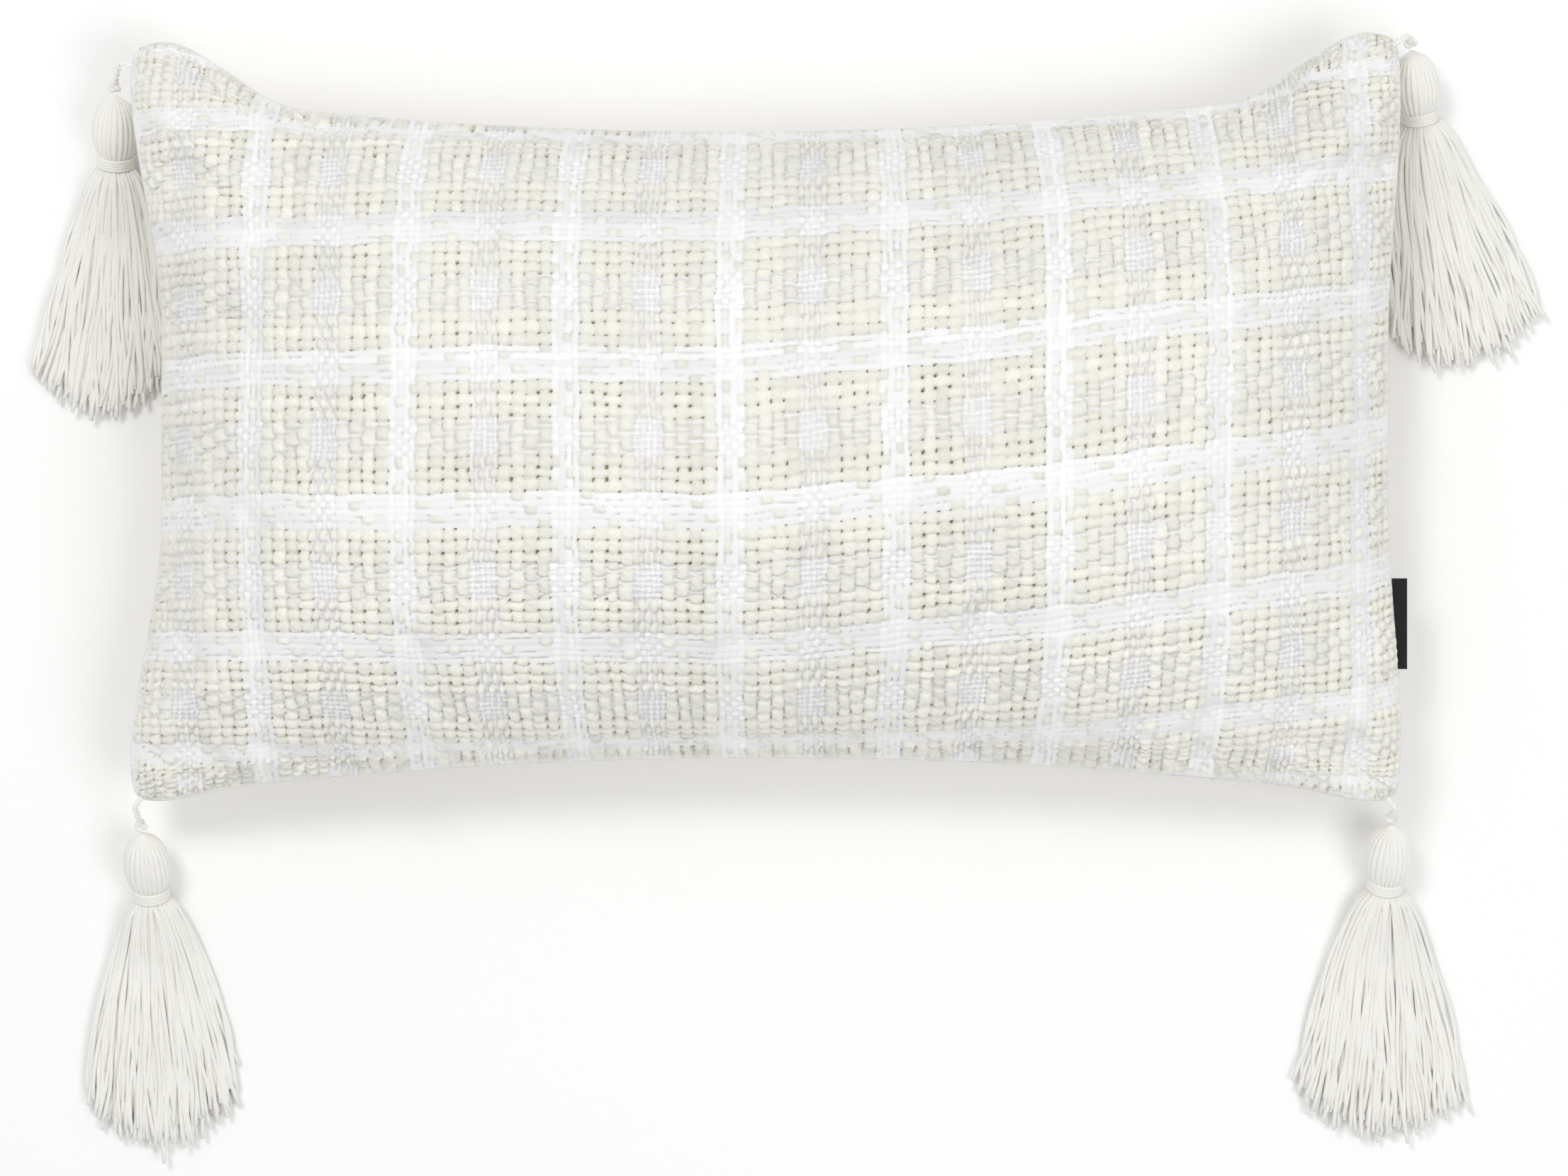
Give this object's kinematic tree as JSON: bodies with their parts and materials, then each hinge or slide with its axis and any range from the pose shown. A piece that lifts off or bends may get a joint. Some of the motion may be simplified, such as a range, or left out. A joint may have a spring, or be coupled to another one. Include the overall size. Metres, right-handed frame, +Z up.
{
  "type": "throw pillow",
  "caption": "Rectangular throw pillow with a woven zipped cover over a fibre pad, a side label, and a knotted yarn tassel at each corner.",
  "frame": {"origin": "centre of the flat patch of the back panel that the pillow rests on", "axes": "+X along the long side, +Y towards the top edge, +Z up through the thickness, out of the front panel"},
  "size_m": [0.6022, 0.4406, 0.132],
  "materials": {
    "cover_weave": "matte",
    "cover_back": "matte",
    "pad_cloth": "matte",
    "fibre": "matte",
    "label": "matte",
    "zip_tape": "matte",
    "zip_coil": "satin",
    "zip_slider": "satin",
    "tassel_yarn": "matte"
  },
  "bodies": {
    "pillow": {"front_panel": "cover_weave", "back_panel": "cover_back", "insert_front": "pad_cloth", "insert_back": "pad_cloth", "fibre_fill": "fibre", "side_label": "label", "zip_tape_front": "zip_tape", "zip_tape_back": "zip_tape", "zip_coil_front": "zip_coil", "zip_coil_back": "zip_coil", "zip_top_stop": "zip_coil", "zip_bottom_stop": "zip_coil"},
    "slider": {"zip_slider": "zip_slider"},
    "pull": {"zip_pull": "zip_slider"},
    "hanger_top_left": {"cord_top_left": "tassel_yarn", "knot_top_left": "tassel_yarn"},
    "tassel_top_left": {"head_top_left": "tassel_yarn", "binding_top_left": "tassel_yarn", "skirt_top_left": "tassel_yarn"},
    "hanger_top_right": {"cord_top_right": "tassel_yarn", "knot_top_right": "tassel_yarn"},
    "tassel_top_right": {"head_top_right": "tassel_yarn", "binding_top_right": "tassel_yarn", "skirt_top_right": "tassel_yarn"},
    "hanger_bottom_left": {"cord_bottom_left": "tassel_yarn", "knot_bottom_left": "tassel_yarn"},
    "tassel_bottom_left": {"head_bottom_left": "tassel_yarn", "binding_bottom_left": "tassel_yarn", "skirt_bottom_left": "tassel_yarn"},
    "hanger_bottom_right": {"cord_bottom_right": "tassel_yarn", "knot_bottom_right": "tassel_yarn"},
    "tassel_bottom_right": {"head_bottom_right": "tassel_yarn", "binding_bottom_right": "tassel_yarn", "skirt_bottom_right": "tassel_yarn"}
  },
  "joints": [
    {"name": "zip_run", "type": "hinge", "parent": "pillow", "child": "slider", "pos_m": [0, -2.033, 0.036], "axis": [0, 0, 1], "range_deg": [0, 10.73]},
    {"name": "zip_pull_turn", "type": "hinge", "parent": "slider", "child": "pull", "pos_m": [0.17575, -0.14115, 0.036], "axis": [0, 0, 1], "range_deg": [0, 175]},
    {"name": "swing_top_left", "type": "hinge", "parent": "pillow", "child": "hanger_top_left", "pos_m": [-0.2536, 0.1396, 0.035], "axis": [0, 0, 1], "range_deg": [-220, 0]},
    {"name": "lift_top_left", "type": "hinge", "parent": "hanger_top_left", "child": "tassel_top_left", "pos_m": [-0.25424, 0.13163, 0.024], "axis": [-0.9968, 0.0802, 0], "range_deg": [0, 36]},
    {"name": "swing_top_right", "type": "hinge", "parent": "pillow", "child": "hanger_top_right", "pos_m": [0.2516, 0.15, 0.035], "axis": [0, 0, 1], "range_deg": [0, 220]},
    {"name": "lift_top_right", "type": "hinge", "parent": "hanger_top_right", "child": "tassel_top_right", "pos_m": [0.25239, 0.14659, 0.024], "axis": [-0.9744, -0.225, 0], "range_deg": [0, 36]},
    {"name": "swing_bottom_left", "type": "hinge", "parent": "pillow", "child": "hanger_bottom_left", "pos_m": [-0.2476, -0.1526, 0.035], "axis": [0, 0, 1], "range_deg": [-150, 62]},
    {"name": "lift_bottom_left", "type": "hinge", "parent": "hanger_bottom_left", "child": "tassel_bottom_left", "pos_m": [-0.24718, -0.16059, 0.024], "axis": [-0.9986, -0.0523, 0], "range_deg": [0, 36]},
    {"name": "swing_bottom_right", "type": "hinge", "parent": "pillow", "child": "hanger_bottom_right", "pos_m": [0.2476, -0.1532, 0.035], "axis": [0, 0, 1], "range_deg": [-62, 150]},
    {"name": "lift_bottom_right", "type": "hinge", "parent": "hanger_bottom_right", "child": "tassel_bottom_right", "pos_m": [0.2476, -0.1572, 0.024], "axis": [-1, 0, 0], "range_deg": [0, 36]}
  ]
}
